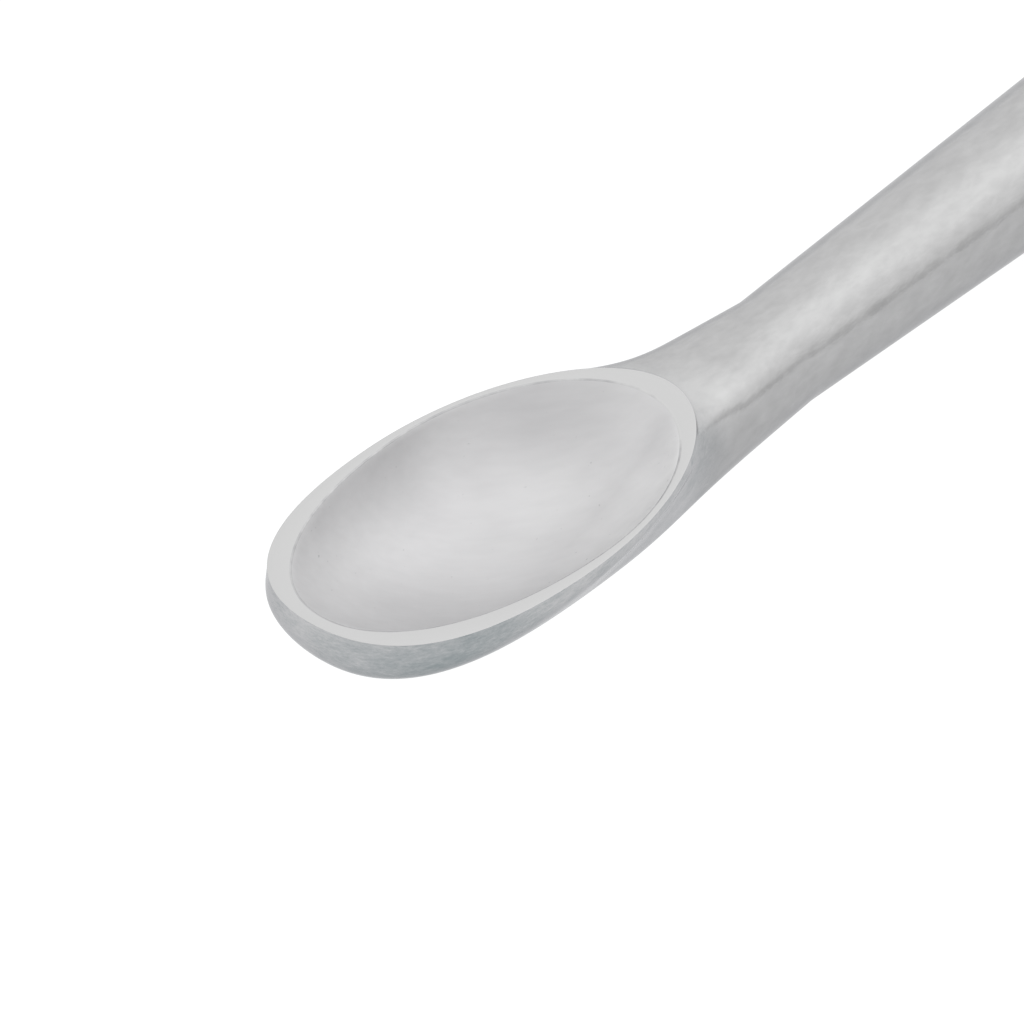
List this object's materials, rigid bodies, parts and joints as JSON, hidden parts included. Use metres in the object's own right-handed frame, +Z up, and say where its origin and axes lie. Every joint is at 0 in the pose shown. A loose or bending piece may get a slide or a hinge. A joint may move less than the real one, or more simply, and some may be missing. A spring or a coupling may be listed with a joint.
{
  "type": "bone scoop",
  "caption": "Sharp egg-shaped steel cup drawn out into a round tapering shaft and a faceted handle, for scooping bone in surgery.",
  "frame": {"origin": "middle of the length and width, on the plane of the handle's lowest flat", "axes": "+X along the shaft's axis from the cup's tip to the butt of the handle, +Z up out of the cup, +Y across the cup"},
  "size_m": [0.17, 0.0104, 0.008],
  "materials": {
    "satin_steel": "satin stainless steel, finely ground flat on the rim and brushed along the outside of the cup"
  },
  "bodies": {
    "root": {"bone_scoop": "satin_steel"}
  },
  "joints": []
}
